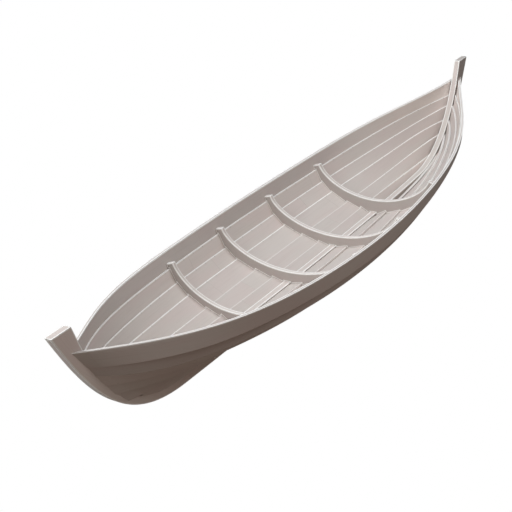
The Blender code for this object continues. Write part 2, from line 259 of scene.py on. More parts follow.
def rabbet_curve():
    """Where the planks' outer faces meet keel and stem: the outer outline set in by the rabbet's
    depth, which shrinks from amidships to the ends on a half wave."""
    keel = straight_run(0.0, KEEL_STRAIGHT_TO, 0.0, KEEL_STEPS)[:-1]
    outline = np.concatenate([keel, OUTER_CURVE])
    tangent = unit(np.gradient(outline, axis=0))
    normal = np.stack([-tangent[:, 1], tangent[:, 0]], axis=1)
    run = RABBET_SHALLOW_FROM - RABBET_DEEP_TO
    toward_end = np.clip((outline[:, :1] - RABBET_DEEP_TO) / run, 0.0, 1.0)
    blend = 0.5 - 0.5 * np.cos(math.pi * toward_end)
    depth = RABBET_DEPTH_AMIDSHIPS + (RABBET_DEPTH_ENDS - RABBET_DEPTH_AMIDSHIPS) * blend
    return outline + normal * depth


RABBET = rabbet_curve()


def edge_end(row):
    """How far along the boat the strake's inner top edge meets the stem's side."""
    return np.interp(row[3], RABBET[:, 1], RABBET[:, 0]) - BEARDING_BACK


def strake_edge(row, x):
    """The inner top edge of a strake on the port side, as (y, z) at each x: the half breadth falls
    from amidships and the height rises, both on even powers of the way to the stem."""
    half_breadth, height, end_height, full2, full4, full6, rise4, rise8 = row[1:9]
    end_x = edge_end(row)
    u = np.minimum(x / end_x, 1.0)
    inside = half_breadth - HALF_SIDING
    fullness = 1 + full2 * u**2 + full4 * u**4 + full6 * u**6
    y = HALF_SIDING + inside * (1 - u**2) * fullness
    rise = (1 - rise4 - rise8) * u**2 + rise4 * u**4 + rise8 * u**8
    z = height + (end_height - height) * rise
    edge = np.stack([y, z], axis=1)
    last = int(np.searchsorted(x, end_x)) - 1
    slope = (edge[last] - edge[last - 1]) / (x[last] - x[last - 1])
    beyond = np.maximum(x - x[last], 0.0)[:, None]
    return np.where(beyond > 0, edge[last] + beyond * slope, edge)


def outward(up):
    """Square to a plank's face, away from the boat's inside."""
    return np.stack([up[:, 1], -up[:, 0]], axis=1)


def garboard_feet(top, x):
    """The garboard's inner and outer lower edges on the side of the keel and stem, and its
    slope."""
    z = np.interp(x, RABBET[:, 0], RABBET[:, 1])
    outer = np.stack([np.full_like(z, WALL), z], axis=1)
    up = unit(top + PLANK_THICKNESS * outward(unit(top - outer)) - outer)
    last = int(np.searchsorted(x, edge_end(STRAKES[0]) - LAST_STEP)) - 1
    up[last:] = up[last]
    reach = (top[:, :1] - WALL) / np.maximum(up[:, :1], LEAST_SLOPE)
    inner = top - up * np.maximum(reach, GARBOARD_TIP)
    inner[:, 0] = WALL
    return inner, outer, up


def stations(row):
    """Places along the boat to cut a line at, closer together toward the stem by a sine."""
    share = np.sin(np.linspace(0.0, math.pi / 2, HALF_STATIONS))
    return share * (edge_end(row) - LAST_STEP)


def line_to_stem(x, line, guide, cuts):
    """The line at the cuts, then where its guide meets the stem's side, and the same going aft."""
    after = int(np.argmax(guide[:, 0] < WALL))
    end_x = np.interp(-WALL, -guide[after - 1 : after + 1, 0], x[after - 1 : after + 1])
    at = np.append(cuts, end_x)
    half = np.stack([at, np.interp(at, x, line[:, 0]), np.interp(at, x, line[:, 1])], axis=1)
    half[-1, 1] = WALL
    aft = half[:0:-1] * np.array((-1.0, 1.0, 1.0))
    return np.concatenate([aft, half])


def foot_thickness(thickness, below, x):
    """How thick a plank is along its outer lower edge: planed down toward the stem on a smooth
    step, so that it ends flush with the strake below."""
    stem_x = edge_end(below) + BEARDING_BACK
    toward_stem = np.clip((x - stem_x + HOOD_RUN) / HOOD_RUN, 0.0, 1.0)
    eased = toward_stem**2 * (3 - 2 * toward_stem)
    return (thickness + (HOOD_EDGE - thickness) * eased)[:, None]


def strake_corners():
    """Six lines along each strake of the port half: inner foot, inner lap, inner top, outer top,
    outer land and outer foot. Each strake laps outside the one below, on its planed land."""
    x = np.linspace(0.0, HALF_LENGTH, FINE_STEPS)
    tops = [strake_edge(row, x) for row in STRAKES]
    inner_foot, outer_foot, up = garboard_feet(tops[0], x)
    inner_lap = (inner_foot + tops[0]) / 2
    below = stations(STRAKES[0])
    strakes = []
    for i, top in enumerate(tops):
        above = stations(STRAKES[i])
        normal = outward(up)
        if i + 1 < len(tops):
            width = np.linalg.norm(top - inner_foot, axis=1, keepdims=True)
            lap = np.minimum(LAP, LAP_SHARE * width)
            outer_land = top + PLANK_THICKNESS * normal - lap * up
            next_foot = outer_land + FIT_GAP * normal
            next_up = unit(tops[i + 1] - next_foot)
            next_lap = next_foot + next_up * lap / dot(next_up, up)
            land_edge = dot(next_lap - top, normal) - FIT_GAP
            outer_top = top + np.clip(land_edge, LEAST_LAND_EDGE, PLANK_THICKNESS) * normal
        else:
            outer_top = top + np.array((1.0, 0.0)) * SHEER_THICKNESS / up[:, 1:]
            outer_land = outer_top - LAP * up
        lower = (inner_foot, inner_lap)
        upper = (top, outer_top, outer_land)
        guides = (top, top, outer_land) if i == 0 else (inner_foot, inner_lap, outer_foot)
        lines = [line_to_stem(x, line, guide, below) for line, guide in zip(lower, guides)]
        lines += [line_to_stem(x, line, line, above) for line in upper]
        lines.append(line_to_stem(x, outer_foot, guides[-1], below))
        strakes.append(np.array(lines))
        if i + 1 < len(tops):
            inner_foot, inner_lap, up, below = next_foot, next_lap, next_up, above
            thickness = PLANK_THICKNESS if i + 2 < len(tops) else SHEER_THICKNESS
            outer_foot = inner_foot + foot_thickness(thickness, STRAKES[i], x) * outward(up)
    return strakes


def new_piece(name, points, faces, material, replaced, values, corner_uv=None):
    """A mesh piece with its doubles merged, faces outward and normals led by its larger faces.
    Its material reads the named values, each a number or one for each point."""
    mesh = bpy.data.meshes.new(name)
    mesh.from_pydata(points.tolist(), [], faces)
    for key, value in values.items():
        attribute = mesh.attributes.new(key, "FLOAT", "POINT")
        spread = np.broadcast_to(value, len(points)).astype(np.float32)
        attribute.data.foreach_set("value", spread)
    if corner_uv is not None:
        layer = mesh.uv_layers.new(name="grain")
        layer.data.foreach_set("uv", np.ascontiguousarray(corner_uv, np.float32).ravel())
    builder = bmesh.new()
    builder.from_mesh(mesh)
    bmesh.ops.remove_doubles(builder, verts=builder.verts, dist=MERGE_DISTANCE)
    bmesh.ops.recalc_face_normals(builder, faces=builder.faces)
    builder.to_mesh(mesh)
    builder.free()
    mesh.polygons.foreach_set("use_smooth", np.ones(len(mesh.polygons), bool))
    mesh.set_sharp_from_angle(angle=math.radians(SHARP_FACE_DEG))
    mesh.materials.append(material)
    piece = bpy.data.objects.new(name, mesh)
    bpy.context.scene.collection.objects.link(piece)
    weighted = piece.modifiers.new("weighted_normals", "WEIGHTED_NORMAL")
    weighted.keep_sharp = True
    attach(piece, "root")
    if replaced:
        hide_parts(*replaced)
    return piece


def grid_faces(rows, around):
    """Quads between neighbouring rows of a closed tube, as point numbers."""
    i, j = np.meshgrid(np.arange(rows - 1), np.arange(around), indexing="ij")
    k = (j + 1) % around
    row, next_row = i * around, (i + 1) * around
    quads = np.stack([row + j, row + k, next_row + k, next_row + j], axis=-1)
    return quads.reshape(-1, 4)


def strake_piece(name, lines, look, side, seed, material, replaced):
    """A strake as a tube of rounded section: at each station its six corners become three points
    each, two on the sides and one pulled toward the corner, with one more halfway along each side.
    The grain's coordinates are the way along the boat and the way round the section. The look is
    the scarfs' place, the painted light and shade on the outside, the pale edges that are partly
    wear and partly a painted highlight, and the painted light and shade on the inside along the
    boat."""
    joint, painted_shading, wear_and_highlight, inside = look
    corners = np.moveaxis(lines, 0, 1)
    count, sides = corners.shape[:2]
    to_last = np.roll(corners, 1, axis=1) - corners
    to_next = np.roll(corners, -1, axis=1) - corners
    next_length = np.linalg.norm(to_next, axis=2, keepdims=True)
    last_length = np.linalg.norm(to_last, axis=2, keepdims=True)
    before = corners + to_last * np.minimum(EASED / last_length, EASED_SHARE)
    after = corners + to_next * np.minimum(EASED / next_length, EASED_SHARE)
    rounded = corners + 2 * ROUND_PULL * ((before + after) / 2 - corners)
    halfway = corners + to_next / 2
    section = np.stack([before, rounded, after, halfway], axis=2).reshape(count, sides * 4, 3)
    corner_distance = np.broadcast_to(np.where(SHOWN_CORNERS, 0.0, HIDDEN_DISTANCE), (count, sides))
    distance = np.stack([corner_distance] * 3 + [next_length[..., 0] / 2], axis=2)
    around = sides * 4
    closed = np.concatenate([section, section[:, :1]], axis=1)
    steps = np.linalg.norm(np.diff(closed, axis=1), axis=2)
    across = np.concatenate([np.zeros((count, 1)), np.cumsum(steps, axis=1)], axis=1)
    outer_share = np.interp(np.arange(around + 1), SECTION_POINTS, OUTSIDE_SHARES)
    along = closed[..., 0] + SCARF_LENGTH * outer_share
    uv = np.stack([along, across + seed], axis=2)
    quads = grid_faces(count, around)
    i, j = np.meshgrid(np.arange(count - 1), np.arange(around), indexing="ij")
    quad_uv = np.stack([uv[i, j], uv[i, j + 1], uv[i + 1, j + 1], uv[i + 1, j]], axis=2)
    caps = [list(range(around)), list(range((count - 1) * around, count * around))]
    cap_uv = [uv[0, :around], uv[-1, :around]]
    corner_uv = np.concatenate([quad_uv.reshape(-1, 2), *cap_uv])
    points = fore_shape(section * np.array((1.0, side, 1.0))).reshape(-1, 3)
    faces = quads.tolist() + caps
    # The pale edges, partly wear and partly a painted highlight, come in full toward the ends
    near_end = np.clip((abs(section[..., 0]) - WORN_AND_HIGHLIGHT_FROM) / (WORN_AND_HIGHLIGHT_TO - WORN_AND_HIGHLIGHT_FROM), 0.0, 1.0)
    wear_and_highlight = (wear_and_highlight + (1 - wear_and_highlight) * near_end).ravel()
    # Painted light and shade: the outside's factor, moved toward the inside's factors along the
    # boat on the inside of the section
    inside_share = 1 - outer_share[:-1]
    inside_painted_shading = np.interp(section[..., 0], INSIDE_PAINTED_SHADING_PLACES, inside)
    painted_shading = (painted_shading * (1 + (inside_painted_shading - 1) * inside_share)).ravel()
    values = {"edge_distance": distance.ravel(), "joint": joint, "painted_shading": painted_shading, "wear_and_highlight": wear_and_highlight}
    return new_piece(name, points, faces, material, replaced, values, corner_uv)


def strake_pieces(strakes, material):
    """Each strake on each side of the boat, in place of its three boards."""
    for number, (row, lines) in enumerate(zip(STRAKES, strakes)):
        look = (*row[9:], INSIDE_PAINTED_SHADING[row[0]])
        for side_name, side in SIDES:
            name = f"{row[0]}_{side_name}"
            replaced = [f"{name}_{board}" for board in BOARDS]
            seed = SEED_STEP * number + SEED_SIDE * side
            strake_piece(f"{name}_shaped", lines, look, side, seed, material, replaced)


def mitred(outline, inset):
    """A closed outline's corners moved inward by the inset on the mitre of their two sides."""
    to_next = unit(np.roll(outline, -1, axis=0) - outline)
    inward = np.stack([-to_next[:, 1], to_next[:, 0]], axis=1)
    from_last = np.roll(inward, 1, axis=0)
    mitre = np.maximum(1 + dot(inward, from_last), LEAST_MITRE)
    return outline + inset * (inward + from_last) / mitre


def slab_piece(name, outlines, places, to_space, material, replaced, look):
    """A flat piece between two outlines a siding apart. Rings of points run from inside one face,
    over its eased edge, across the siding and back in on the other face. Where the outline turns
    sharply each ring has five points in place of one, so that the corner is eased too. The look
    is painted light and shade: how much lighter or darker its two faces and the rim between them
    are painted for how the light falls on them."""
    face_painted_shading, rim_painted_shading = look
    first, second = outlines
    area = np.sum(first[:, 0] * np.roll(first[:, 1], -1) - first[:, 1] * np.roll(first[:, 0], -1))
    if area < 0:
        first, second = first[::-1], second[::-1]
    to_next = unit(np.roll(first, -1, axis=0) - first)
    to_last = unit(np.roll(first, 1, axis=0) - first)
    room = np.linalg.norm(np.roll(first, -1, axis=0) - first, axis=1)
    last_room = np.roll(room, 1)
    sharp = dot(to_next, -to_last)[:, 0] < math.cos(math.radians(SHARP_TURN_DEG))
    far_last = sharp & (last_room > ROOM_FOR_PLAIN)
    far_next = sharp & (room > ROOM_FOR_PLAIN)
    least_room = np.minimum(room, last_room)
    easing = np.where(sharp, np.minimum(EASED, EASED_SHARE * least_room), 0.0)
    always = np.ones_like(sharp)
    never = np.zeros_like(sharp)
    kept = np.stack([far_last, sharp, always, sharp, far_next], axis=1)
    at_edge = np.stack([never, sharp, sharp, sharp, never], axis=1)[kept]
    siding = abs(places[1] - places[0])
    pull = ROUND_PULL * EASED
    half = (
        (0.0, PLAIN_REACH, PLAIN_REACH),
        (0.0, EASED, 0.0),
        (pull, pull, 0.0),
        (EASED, 0.0, 0.0),
        (PLAIN_REACH, 0.0, PLAIN_REACH),
        (siding / 2, 0.0, siding / 2),
    )
    rows = list(half) + [(siding - way, inset, distance) for way, inset, distance in half[-2::-1]]
    rings = []
    distances = []
    for way, inset, distance in rows:
        share = way / siding
        corner = mitred(first * (1 - share) + second * share, inset)
        left = np.maximum(easing - inset, 0.0)[:, None]
        last_step = to_last * left
        next_step = to_next * left
        ring = np.stack([
            corner + to_last * PLAIN_REACH,
            corner + last_step,
            corner + ROUND_PULL * (last_step + next_step),
            corner + next_step,
            corner + to_next * PLAIN_REACH,
        ], axis=1)[kept]
        place = places[0] + (places[1] - places[0]) * share
        rings.append(fore_shape(to_space(ring, place)))
        on_edge = at_edge & (inset < PLAIN_REACH)
        distances.append(np.where(on_edge, 0.0, distance))
    around = len(rings[0])
    faces = grid_faces(len(rings), around).tolist()
    faces += [list(range(around)), list(range((len(rings) - 1) * around, len(rings) * around))]
    points = np.concatenate(rings)
    on_face = np.array([way in (0.0, siding) for way, _, _ in rows])
    painted_shadings = np.repeat(np.where(on_face, face_painted_shading, rim_painted_shading), around)
    values = {"edge_distance": np.concatenate(distances), "painted_shading": painted_shadings, "wear_and_highlight": 1.0}
    return new_piece(name, points, faces, material, replaced, values)


def upright(outline, y):
    """An outline of x and z as points in the upright plane at y."""
    return np.stack([outline[:, 0], np.full(len(outline), y), outline[:, 1]], axis=1)


def athwart(outline, x):
    """An outline of y and z as points in the plane across the boat at x."""
    return np.stack([np.full(len(outline), x), outline[:, 0], outline[:, 1]], axis=1)


def backbone_pieces(material):
    """Keel, hog and the two stems, each an outline in the boat's middle plane as thick as the
    siding. Each stem's knee runs in over the keel's end to the hog."""
    hog_base = HOG_TOP - HOG_DEPTH
    joint = FIT_GAP / 2
    keel_reach = KEEL_HALF_LENGTH - joint
    hog_reach = HOG_HALF_LENGTH - joint
    heel = KEEL_HALF_LENGTH + joint
    knee = HOG_HALF_LENGTH + joint
    stem = np.concatenate([
        straight_run(heel, KEEL_STRAIGHT_TO, 0.0, HEEL_STEPS)[:-1],
        OUTER_CURVE,
        INNER_CURVE[::-1],
        straight_run(STEM_INNER_FOOT_X, knee, HOG_TOP, KNEE_STEPS)[1:],
        straight_run(knee, heel, hog_base + joint, KNEE_END_STEPS),
    ])
    keel = np.concatenate([
        straight_run(-keel_reach, keel_reach, 0.0, KEEL_STEPS),
        straight_run(keel_reach, -keel_reach, hog_base - joint, KEEL_STEPS),
    ])
    hog = np.concatenate([
        straight_run(-hog_reach, hog_reach, hog_base + joint, KEEL_STEPS),
        straight_run(hog_reach, -hog_reach, HOG_TOP, KEEL_STEPS),
    ])
    pieces = (
        ("keel", keel, KEEL_PAINTED_SHADING),
        ("hog", hog, HOG_PAINTED_SHADING),
        ("stem_fore", stem, STEM_FORE_PAINTED_SHADING),
        ("stem_aft", stem * np.array((-1.0, 1.0)), STEM_AFT_PAINTED_SHADING),
    )
    for name, outline, look in pieces:
        slab_piece(
            f"{name}_shaped",
            (outline, outline),
            (-HALF_SIDING, HALF_SIDING),
            upright,
            material,
            (name,),
            look,
        )


def cut_at(line, x):
    """The (y, z) point of a line along the boat at the given x."""
    return np.array((np.interp(x, line[:, 0], line[:, 1]), np.interp(x, line[:, 0], line[:, 2])))


def offset_inward(points, distance):
    """The open outline, run from port to starboard, moved off the planks by the distance."""
    step = unit(np.diff(points, axis=0))
    inward = np.stack([step[:, 1], -step[:, 0]], axis=1)
    before = np.concatenate([inward[:1], inward])
    after = np.concatenate([inward, inward[-1:]])
    mitre = np.maximum(1 + dot(before, after), LEAST_MITRE)
    return points + distance * (before + after) / mitre


def frame_outline(strakes, x, floor_depth):
    """The frame's closed outline at x, from port to starboard and back: joggled over the planks'
    laps and notched over the hog below, and above it a fair cubic curve, level over the hog and in
    line with the sheer strake at the heads."""
    sheer_foot, sheer_top = cut_at(strakes[-1][1], x), cut_at(strakes[-1][2], x)
    up = unit(sheer_top - sheer_foot)
    head = sheer_top - FRAME_HEAD_BELOW_SHEER * up
    hog_top = HOG_TOP + float(keel_line(x))
    port = [head]
    for above, below in zip(strakes[:0:-1], strakes[-2::-1]):
        port += [cut_at(above[1], x), cut_at(below[2], x)]
    port += [cut_at(strakes[0][1], x), cut_at(strakes[0][0], x)]
    port.append(np.array((port[-1][0], hog_top)))
    port = np.array(port)
    starboard = port[::-1] * np.array((-1.0, 1.0))
    joggled = offset_inward(np.concatenate([port, starboard]), FRAME_GAP)
    inner_head = head + FRAME_HEAD_DEPTH * np.array((-up[1], up[0]))
    throat = np.array((0.0, hog_top + floor_depth))
    floor_handle = np.array((FLOOR_HANDLE_SHARE * inner_head[0], 0.0))
    head_handle = HEAD_HANDLE_SHARE * (inner_head[1] - throat[1]) * up
    handles = (throat, throat + floor_handle, inner_head - head_handle, inner_head)
    right = bezier(handles, FRAME_CURVE_STEPS)
    left = right[:0:-1] * np.array((-1.0, 1.0))
    return np.concatenate([joggled, left, right])


def frame_pieces(strakes, material):
    """Each frame, between its own outlines at its two faces, half a siding before and behind."""
    for name, place, floor_depth in FRAMES:
        x = place * FRAME_SPACING
        places = (x - FRAME_SIDING / 2, x + FRAME_SIDING / 2)
        outlines = [frame_outline(strakes, face_x, floor_depth) for face_x in places]
        slab_piece(
            f"{name}_shaped",
            outlines,
            places,
            athwart,
            material,
            (name,),
            FRAME_PAINTED_SHADING,
        )


class Value:
    """A number that varies over a surface: a socket whose operators add Math nodes."""

    def __init__(self, finish, socket):
        self.finish = finish
        self.socket = socket

    def worked(self, operation, *values):
        inputs = {i: value for i, value in enumerate(values)}
        return self.finish.value("ShaderNodeMath", inputs, operation=operation)

    def __add__(self, other):
        return self.worked("ADD", self, other)

    __radd__ = __add__

    def __sub__(self, other):
        return self.worked("SUBTRACT", self, other)

    def __rsub__(self, other):
        return self.worked("SUBTRACT", other, self)

    def __mul__(self, other):
        return self.worked("MULTIPLY", self, other)

    __rmul__ = __mul__

    def __abs__(self):
        return self.worked("ABSOLUTE", self)

    def __gt__(self, other):
        return self.worked("GREATER_THAN", self, other)

    def at_least(self, other):
        return self.worked("MAXIMUM", self, other)

    def at_most(self, other):
        return self.worked("MINIMUM", self, other)

    def root(self):
        return self.worked("SQRT", self)

    def angle_over(self, other):
        return self.worked("ARCTAN2", self, other)


# The Mix node's sockets for a blend of colours: its share, its two colours and its result
MIX_SHARE = 0
MIX_FIRST = 6
MIX_SECOND = 7
MIX_RESULT = 2
# How many finer layers a noise adds and how strong they are, unless its own row says otherwise
NOISE_DETAIL = 3.0
NOISE_ROUGHNESS = 0.55


class Finish:
    """A material's node tree."""

    def __init__(self, name):
        self.material = bpy.data.materials.new(name)
        self.material.use_nodes = True
        self.tree = self.material.node_tree
        self.shader = self.tree.nodes["Principled BSDF"]

    def node(self, kind, inputs, **settings):
        made = self.tree.nodes.new(kind)
        for setting, value in settings.items():
            setattr(made, setting, value)
        for key, value in inputs.items():
            self.feed(made.inputs[key], value)
        return made

    def feed(self, socket, value):
        if isinstance(value, Value):
            self.tree.links.new(value.socket, socket)
        elif isinstance(value, bpy.types.NodeSocket):
            self.tree.links.new(value, socket)
        else:
            socket.default_value = value

    def value(self, kind, inputs, output=0, **settings):
        return Value(self, self.node(kind, inputs, **settings).outputs[output])

    def point(self, x, y, z):
        return self.node("ShaderNodeCombineXYZ", {0: x, 1: y, 2: z}).outputs[0]

    def noise(self, vector, scale, detail=NOISE_DETAIL, roughness=NOISE_ROUGHNESS):
        inputs = {"Vector": vector, "Scale": scale, "Detail": detail, "Roughness": roughness}
        return self.value("ShaderNodeTexNoise", inputs, "Fac")

    def step(self, value, low, high):
        """Zero below low, one above high, and a smooth rise between."""
        inputs = {"Value": value, "From Min": low, "From Max": high}
        return self.value("ShaderNodeMapRange", inputs, interpolation_type="SMOOTHSTEP")

    def mixed(self, share, first, second):
        """The first colour where the share is zero, the second where it is one."""
        inputs = {MIX_SHARE: share, MIX_FIRST: first, MIX_SECOND: second}
        return self.node("ShaderNodeMix", inputs, data_type="RGBA").outputs[MIX_RESULT]

    def attribute(self, name):
        return self.value("ShaderNodeAttribute", {}, "Fac", attribute_name=name)

    def parts(self, vector):
        split = self.node("ShaderNodeSeparateXYZ", {0: vector})
        return [Value(self, split.outputs[i]) for i in range(3)]


# Each layer of the wood's look is noise, as fine along and across the grain as its row says
#          along  across detail roughness
STREAKS = (2.5, 85.0, 4.0, 0.6)
FIBRES = (18.0, 520.0, 2.0, NOISE_ROUGHNESS)
DRIFTS = (1.3, 5.0, 2.0, NOISE_ROUGHNESS)
PATCHES = (22.0, 22.0, NOISE_DETAIL, NOISE_ROUGHNESS)
# The values of a layer's noise between which it comes in
COOL_FROM_TO = (0.38, 0.62)
STREAK_FROM_TO = (0.45, 0.75)
FIBRE_FROM_TO = (0.5, 0.8)
# How far a full streak and a full fibre turn the wood toward its dark colour
STREAK_DARKNESS = 0.30
FIBRE_DARKNESS = 0.12
# How far streaks and fibres stand up and a seam is sunk, in shares of the relief's depth
STREAK_RELIEF = 0.6
FIBRE_RELIEF = 0.4
SEAM_RELIEF = 2.0
RELIEF_DEPTH = 0.0008
RELIEF_STRENGTH = 0.25
# The wood's roughness, how much streaks and wear smooth it, and how strongly it shines
WOOD_ROUGHNESS = 0.88
STREAK_SMOOTHNESS = 0.12
WORN_SMOOTHNESS = 0.08
WOOD_SPECULAR = 0.25
# The pale edge, partly wear and partly a painted highlight, fades out between these distances
# from an edge, which waver by this much
WEAR_AND_HIGHLIGHT_FULL_TO = 0.006
WEAR_AND_HIGHLIGHT_GONE_FROM = 0.010
WEAR_AND_HIGHLIGHT_WAVER = 0.002
# Half the width of a joint's dark line, and where it has faded out
SEAM_FULL_TO = 0.0004
SEAM_GONE_FROM = 0.0012

# Colours of the bare weathered wood and of the rivets
PLANK_COOL = (0.625, 0.565, 0.53, 1.0)
PLANK_WARM = (0.63, 0.55, 0.52, 1.0)
PLANK_DARK = (0.525, 0.455, 0.42, 1.0)
# The pale edge colour: partly rubbed wear, partly a painted highlight along the edges
WORN_AND_HIGHLIGHT = (0.90, 0.875, 0.85, 1.0)
SEAM = (0.46, 0.42, 0.39, 1.0)
RIVET_COLOUR = (0.56, 0.515, 0.485, 1.0)
RIVET_DARK = (0.50, 0.455, 0.425, 1.0)


def grain_layer(finish, place, layer):
    """Noise drawn out along the grain: the place along it, across it and in depth, each times the
    layer's fineness that way."""
    along, across, depth = place
    along_fineness, across_fineness, detail, roughness = layer
    point = finish.point(
        along * along_fineness,
        across * across_fineness,
        depth * across_fineness,
    )
    return finish.noise(point, 1.0, detail, roughness)


def wood(finish, along, across, depth, seam=None):
    """Silvered softwood: long fine streaks across the grain's width, broad drifts of warm and
    cool grey, painted light and shade for each face, and pale edges that are partly wear where
    hands and gear rub and partly a painted highlight along the edges."""
    place = (along, across, depth)
    streaks, fibres, drifts, patches = (
        grain_layer(finish, place, layer) for layer in (STREAKS, FIBRES, DRIFTS, PATCHES)
    )
    ground = finish.mixed(finish.step(drifts, *COOL_FROM_TO), PLANK_WARM, PLANK_COOL)
    streaky = finish.step(streaks, *STREAK_FROM_TO) * STREAK_DARKNESS
    fibrous = finish.step(fibres, *FIBRE_FROM_TO) * FIBRE_DARKNESS
    ground = finish.mixed(streaky + fibrous, ground, PLANK_DARK)
    # Painted light and shade: the wood's colour scaled up where a face is painted as lit and down
    # where it is painted as shaded
    painted_shading = {0: ground, "Scale": finish.attribute("painted_shading")}
    ground = finish.node("ShaderNodeVectorMath", painted_shading, operation="SCALE").outputs[0]
    # Pale edges: partly rubbed wear, partly a painted highlight along the edges
    distance = finish.attribute("edge_distance")
    wavering = distance + (patches - 0.5) * WEAR_AND_HIGHLIGHT_WAVER
    rubbed_and_highlit = 1.0 - finish.step(wavering, WEAR_AND_HIGHLIGHT_FULL_TO, WEAR_AND_HIGHLIGHT_GONE_FROM)
    rubbed_and_highlit = rubbed_and_highlit * finish.attribute("wear_and_highlight")
    colour = finish.mixed(rubbed_and_highlit, ground, WORN_AND_HIGHLIGHT)
    height = streaks * STREAK_RELIEF + fibres * FIBRE_RELIEF
    if seam is not None:
        colour = finish.mixed(seam, colour, SEAM)
        height = height - seam * SEAM_RELIEF
    finish.feed(finish.shader.inputs["Base Color"], colour)
    roughness = WOOD_ROUGHNESS - streaks * STREAK_SMOOTHNESS - rubbed_and_highlit * WORN_SMOOTHNESS
    finish.feed(finish.shader.inputs["Roughness"], roughness)
    relief = {"Strength": RELIEF_STRENGTH, "Distance": RELIEF_DEPTH, "Height": height}
    bump = finish.node("ShaderNodeBump", relief)
    finish.feed(finish.shader.inputs["Normal"], bump.outputs[0])
    finish.shader.inputs["Specular IOR Level"].default_value = WOOD_SPECULAR


# How far the grain is shifted from one board of a strake to the next
BOARD_SHIFT = 3.7


def plank_finish():
    """Grain along the strake, each board of its own tone, with a fine dark line at the scarfs."""
    finish = Finish("weathered_planking")
    grain = finish.node("ShaderNodeUVMap", {}, uv_map="grain").outputs[0]
    along, across, _ = finish.parts(grain)
    joint = finish.attribute("joint")
    fore = along - joint - SCARF_LENGTH
    aft = along + joint
    board = (fore > 0.0) + (aft > 0.0)
    nearest = abs(fore).at_most(abs(aft))
    seam = 1.0 - finish.step(nearest, SEAM_FULL_TO, SEAM_GONE_FROM)
    wood(finish, along, across, board * BOARD_SHIFT, seam)
    return finish.material


# Where a frame's floor meets its futtocks, how steeply their grain rises, and its shift there
FRAME_JOINT_Y = 0.40
FUTTOCK_SLOPE_DEG = 58.0
FUTTOCK_SHIFT = 0.7


def frame_finish():
    """Sawn frames: the floor's grain runs athwart, the futtocks' up the side, with a seam where
    they meet."""
    finish = Finish("weathered_frames")
    place = finish.node("ShaderNodeTexCoord", {}).outputs["Object"]
    x, y, z = finish.parts(place)
    out = abs(y)
    slope = math.radians(FUTTOCK_SLOPE_DEG)
    side = out > FRAME_JOINT_Y
    up_side = out * math.cos(slope) + z * math.sin(slope)
    off_side = z * math.cos(slope) - out * math.sin(slope)
    along = out * (1.0 - side) + up_side * side
    across = z * (1.0 - side) + off_side * side
    seam = 1.0 - finish.step(abs(out - FRAME_JOINT_Y), SEAM_FULL_TO, SEAM_GONE_FROM)
    wood(finish, along, across + side * FUTTOCK_SHIFT, x, seam)
    return finish.material


# The grain of the keel's ends and the stems bends round this centre
GROWN_CENTRE_X = 1.80
GROWN_CENTRE_Z = 1.60 - DRAUGHT
GROWN_RADIUS = 1.58


def backbone_finish():
    """Keel and stems: the grain runs level along the keel and bends up each stem with its curve,
    as in a grown crook."""
    finish = Finish("weathered_backbone")
    place = finish.node("ShaderNodeTexCoord", {}).outputs["Object"]
    x, y, z = finish.parts(place)
    beyond = (abs(x) - GROWN_CENTRE_X).at_least(0.0)
    below = GROWN_CENTRE_Z - z
    across = (beyond * beyond + below * below).root()
    along = beyond.angle_over(below) * GROWN_RADIUS + abs(x).at_most(GROWN_CENTRE_X)
    wood(finish, along, across, y)
    return finish.material


# The rivets' mottling: how fine it is, between which values it turns dark, and their roughness
MOTTLE_FINENESS = 260.0
MOTTLE_FROM_TO = (0.4, 0.6)
RIVET_ROUGHNESS = 0.55
MOTTLE_ROUGHNESS = 0.25


def rivet_finish():
    """Copper gone dull and brown-grey with age, mottled."""
    finish = Finish("dulled_copper")
    place = finish.node("ShaderNodeTexCoord", {}).outputs["Object"]
    mottle = finish.noise(place, MOTTLE_FINENESS)
    colour = finish.mixed(finish.step(mottle, *MOTTLE_FROM_TO), RIVET_COLOUR, RIVET_DARK)
    finish.feed(finish.shader.inputs["Base Color"], colour)
    roughness = RIVET_ROUGHNESS + mottle * MOTTLE_ROUGHNESS
    finish.feed(finish.shader.inputs["Roughness"], roughness)
    finish.shader.inputs["Metallic"].default_value = 0.0
    return finish.material


# Rivets along each lap, with a rove inside and a head outside, each a low dome
RIVET_SPACING = 0.15
RIVET_END_MARGIN = 0.06
ROVE_RADIUS = 0.0060
ROVE_HEIGHT = 0.0022
HEAD_RADIUS = 0.0045
HEAD_HEIGHT = 0.0010
RIVET_SIDES = 8
RIVET_SINK = 0.0006
DOME_SHOULDER_RADIUS = 0.6
DOME_SHOULDER_HEIGHT = 0.8
FRAME_CLEARANCE = 0.03
# A lap's direction at a rivet is taken from this many stations to each side of it
NEARBY = 0.5


def dome_points(centres, tangents, normals, radius, height):
    """A low dome at each centre: a ring on the surface, a smaller ring part-way up, and a top."""
    across = unit(np.cross(normals, tangents))
    along = np.cross(across, normals)
    turn = np.linspace(0.0, 2 * math.pi, RIVET_SIDES, endpoint=False)
    ring = np.stack([np.cos(turn), np.sin(turn), np.zeros(RIVET_SIDES)], axis=1)
    low = ring * radius - np.array((0.0, 0.0, RIVET_SINK))
    shoulder = np.array((0.0, 0.0, height * DOME_SHOULDER_HEIGHT))
    high = ring * radius * DOME_SHOULDER_RADIUS + shoulder
    top = np.array(((0.0, 0.0, height),))
    local = np.concatenate([low, high, top])
    basis = np.stack([along, across, normals], axis=1)
    return centres[:, None, :] + np.einsum("kc,ncd->nkd", local, basis)


